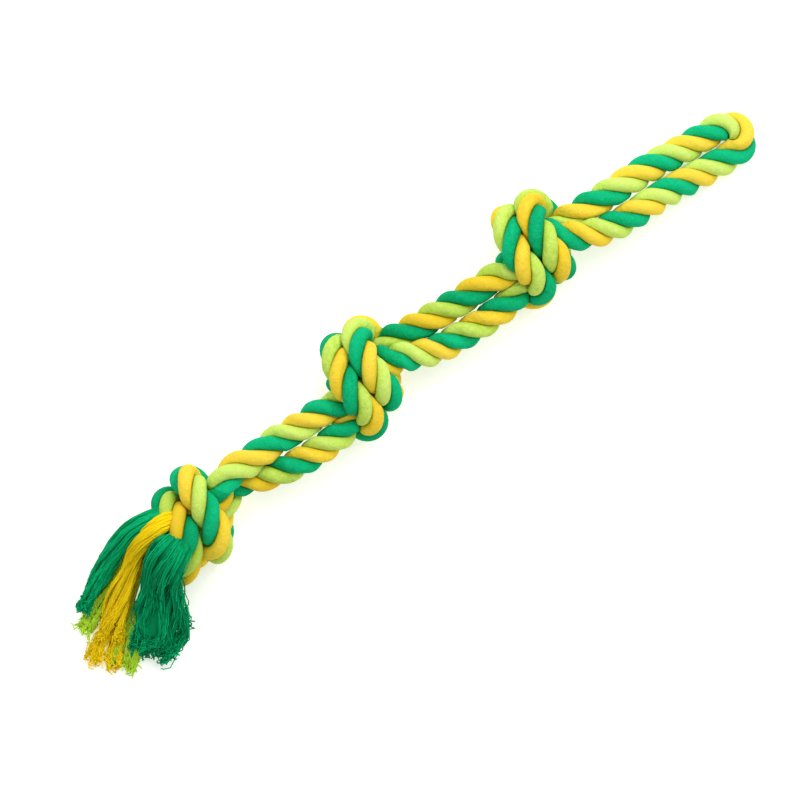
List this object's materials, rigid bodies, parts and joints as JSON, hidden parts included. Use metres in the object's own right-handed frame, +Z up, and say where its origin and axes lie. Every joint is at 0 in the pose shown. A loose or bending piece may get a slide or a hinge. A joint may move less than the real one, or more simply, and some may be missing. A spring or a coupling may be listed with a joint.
{
  "type": "rope dog toy",
  "caption": "Knotted cotton tug toy: one doubled three-strand rope with overhand knots, a loop handle and a frayed tassel, lying flat.",
  "frame": {"origin": "on the ground under the middle of the toy's box", "axes": "+X along the toy, from the tassel to the loop handle; +Y across it; +Z up from the ground it lies on"},
  "size_m": [0.6064, 0.107, 0.0719],
  "materials": {
    "green_cotton": "matte fuzzy cotton yarn",
    "lime_cotton": "matte fuzzy cotton yarn",
    "yellow_cotton": "matte fuzzy cotton yarn"
  },
  "bodies": {
    "tail_knot": {"tail_knot_green_leg_1": "green_cotton", "tail_knot_green_leg_2": "green_cotton", "tail_knot_lime_leg_1": "lime_cotton", "tail_knot_lime_leg_2": "lime_cotton", "tail_knot_yellow_leg_1": "yellow_cotton", "tail_knot_yellow_leg_2": "yellow_cotton"},
    "lower_link": {"lower_link_green_leg_1": "green_cotton", "lower_link_green_leg_2": "green_cotton", "lower_link_lime_leg_1": "lime_cotton", "lower_link_lime_leg_2": "lime_cotton", "lower_link_yellow_leg_1": "yellow_cotton", "lower_link_yellow_leg_2": "yellow_cotton"},
    "middle_knot": {"middle_knot_green_leg_1": "green_cotton", "middle_knot_green_leg_2": "green_cotton", "middle_knot_lime_leg_1": "lime_cotton", "middle_knot_lime_leg_2": "lime_cotton", "middle_knot_yellow_leg_1": "yellow_cotton", "middle_knot_yellow_leg_2": "yellow_cotton"},
    "upper_link": {"upper_link_green_leg_1": "green_cotton", "upper_link_green_leg_2": "green_cotton", "upper_link_lime_leg_1": "lime_cotton", "upper_link_lime_leg_2": "lime_cotton", "upper_link_yellow_leg_1": "yellow_cotton", "upper_link_yellow_leg_2": "yellow_cotton"},
    "top_knot": {"top_knot_green_leg_1": "green_cotton", "top_knot_green_leg_2": "green_cotton", "top_knot_lime_leg_1": "lime_cotton", "top_knot_lime_leg_2": "lime_cotton", "top_knot_yellow_leg_1": "yellow_cotton", "top_knot_yellow_leg_2": "yellow_cotton"},
    "handle_link": {"handle_link_green_leg_1": "green_cotton", "handle_link_green_leg_2": "green_cotton", "handle_link_lime_leg_1": "lime_cotton", "handle_link_lime_leg_2": "lime_cotton", "handle_link_yellow_leg_1": "yellow_cotton", "handle_link_yellow_leg_2": "yellow_cotton"},
    "handle": {"handle_green_strand": "green_cotton", "handle_lime_strand": "lime_cotton", "handle_yellow_strand": "yellow_cotton"},
    "tassel": {"tassel_lime_left_bunch": "lime_cotton", "tassel_yellow_under_bunch": "yellow_cotton", "tassel_lime_right_bunch": "lime_cotton"},
    "green_left_bunch": {"tassel_green_left_bunch": "green_cotton"},
    "yellow_top_bunch": {"tassel_yellow_top_bunch": "yellow_cotton"},
    "green_right_bunch": {"tassel_green_right_bunch": "green_cotton"}
  },
  "joints": [
    {"name": "lower_link_fold", "type": "hinge", "parent": "middle_knot", "child": "lower_link", "pos_m": [-0.07331, 0.00413, 0.04132], "axis": [0, 1, 0], "range_deg": [-45, 45]},
    {"name": "tail_knot_swing", "type": "hinge", "parent": "lower_link", "child": "tail_knot", "pos_m": [-0.13531, 0.01561, 0.04131], "axis": [0, 0, 1], "range_deg": [-28, 28]},
    {"name": "upper_link_fold", "type": "hinge", "parent": "middle_knot", "child": "upper_link", "pos_m": [0.01969, 0.01049, 0.04115], "axis": [0, 1, 0], "range_deg": [-45, 45]},
    {"name": "top_knot_swing", "type": "hinge", "parent": "upper_link", "child": "top_knot", "pos_m": [0.07169, 0.0024, 0.04083], "axis": [0, 0, 1], "range_deg": [-28, 28]},
    {"name": "handle_link_fold", "type": "hinge", "parent": "top_knot", "child": "handle_link", "pos_m": [0.17019, -0.00019, 0.04102], "axis": [0, 1, 0], "range_deg": [-45, 45]},
    {"name": "handle_swing", "type": "hinge", "parent": "handle_link", "child": "handle", "pos_m": [0.21575, -0.0057, 0.03173], "axis": [0.387, -0.0385, 0.9213], "range_deg": [-28, 28]},
    {"name": "tassel_lift", "type": "hinge", "parent": "tail_knot", "child": "tassel", "pos_m": [-0.22281, 0.01369, 0.0544], "axis": [0, 1, 0], "range_deg": [0, 45]},
    {"name": "green_left_bunch_lift", "type": "hinge", "parent": "tassel", "child": "green_left_bunch", "pos_m": [-0.22281, 0.01369, 0.0544], "axis": [0, 1, 0], "range_deg": [0, 35]},
    {"name": "yellow_top_bunch_lift", "type": "hinge", "parent": "tassel", "child": "yellow_top_bunch", "pos_m": [-0.22281, 0.01369, 0.0544], "axis": [0, 1, 0], "range_deg": [0, 35]},
    {"name": "green_right_bunch_lift", "type": "hinge", "parent": "tassel", "child": "green_right_bunch", "pos_m": [-0.22281, 0.01369, 0.0544], "axis": [0, 1, 0], "range_deg": [0, 35]}
  ]
}
